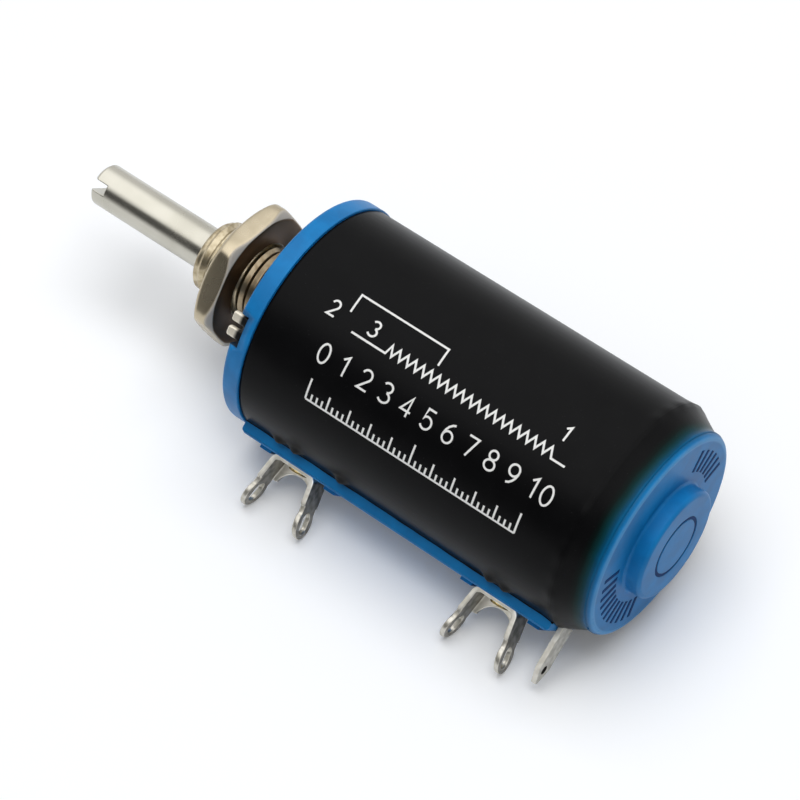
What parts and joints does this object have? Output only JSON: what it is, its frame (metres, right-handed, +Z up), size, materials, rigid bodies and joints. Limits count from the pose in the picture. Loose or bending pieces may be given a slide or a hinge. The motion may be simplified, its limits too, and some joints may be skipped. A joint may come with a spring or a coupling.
{
  "type": "multiturn potentiometer",
  "caption": "Panel-mount multiturn potentiometer: slotted shaft, threaded bushing with hex nut, blue case in a black sleeve, side solder terminals, and a wiper that travels along a winding.",
  "frame": {"origin": "on the shaft's axis, in the plane of the mounting face that goes against the panel", "axes": "+X out along the shaft, +Z up as the part lies on a table on its body and its terminal tips, +Y towards the terminals"},
  "size_m": [0.0631, 0.025, 0.022],
  "materials": {
    "blue_moulding": "moulded phenolic blue, soft gloss",
    "black_film": "satin black shrink film",
    "bushing_brass": "turned brass under thin nickel",
    "nickel_plate": "bright nickel plate",
    "shaft_steel": "ground and nickel plated",
    "tinned_strip": "tinned",
    "tab_steel": "plated sheet",
    "rivet_brass": "plain",
    "winding_wire": "enamelled resistance wire on a round core",
    "spring_bronze": "plain",
    "drum_moulding": "moulded, natural",
    "collector_brass": "turned",
    "clip_steel": "spring steel, oiled"
  },
  "bodies": {
    "case": {"front_cover": "blue_moulding", "threaded_bushing": "bushing_brass", "locating_tab": "tab_steel", "housing": "blue_moulding", "sleeve": "black_film", "rear_cap": "blue_moulding", "resistance_winding": "winding_wire", "front_terminal": "tinned_strip", "rear_terminal": "tinned_strip", "front_rivet": "rivet_brass", "rear_rivet": "rivet_brass", "wiper_terminal": "tinned_strip", "collector_brush": "spring_bronze"},
    "rotor": {"shaft": "shaft_steel", "rotor_drum": "drum_moulding", "collector_rod": "collector_brass", "slip_ring": "collector_brass", "retaining_ring": "clip_steel", "thrust_washer": "collector_brass"},
    "carriage": {"wiper_carriage": "drum_moulding", "wiper_contact": "spring_bronze"},
    "nut": {"mounting_nut": "nickel_plate"}
  },
  "joints": [
    {"name": "shaft_turn", "type": "hinge", "parent": "case", "child": "rotor", "pos_m": [0, 0, 0], "axis": [1, 0, 0], "range_deg": [-1800, 1800]},
    {"name": "wiper_travel", "type": "slide", "parent": "rotor", "child": "carriage", "axis": [1, 0, 0], "range_m": [-0.011, 0.011]},
    {"name": "nut_travel", "type": "slide", "parent": "case", "child": "nut", "axis": [1, 0, 0], "range_m": [-0.0045, 0.00275]}
  ],
  "couplings": [
    {"joint": "wiper_travel", "follows": "shaft_turn", "m_per_rad": 0.00035014}
  ]
}
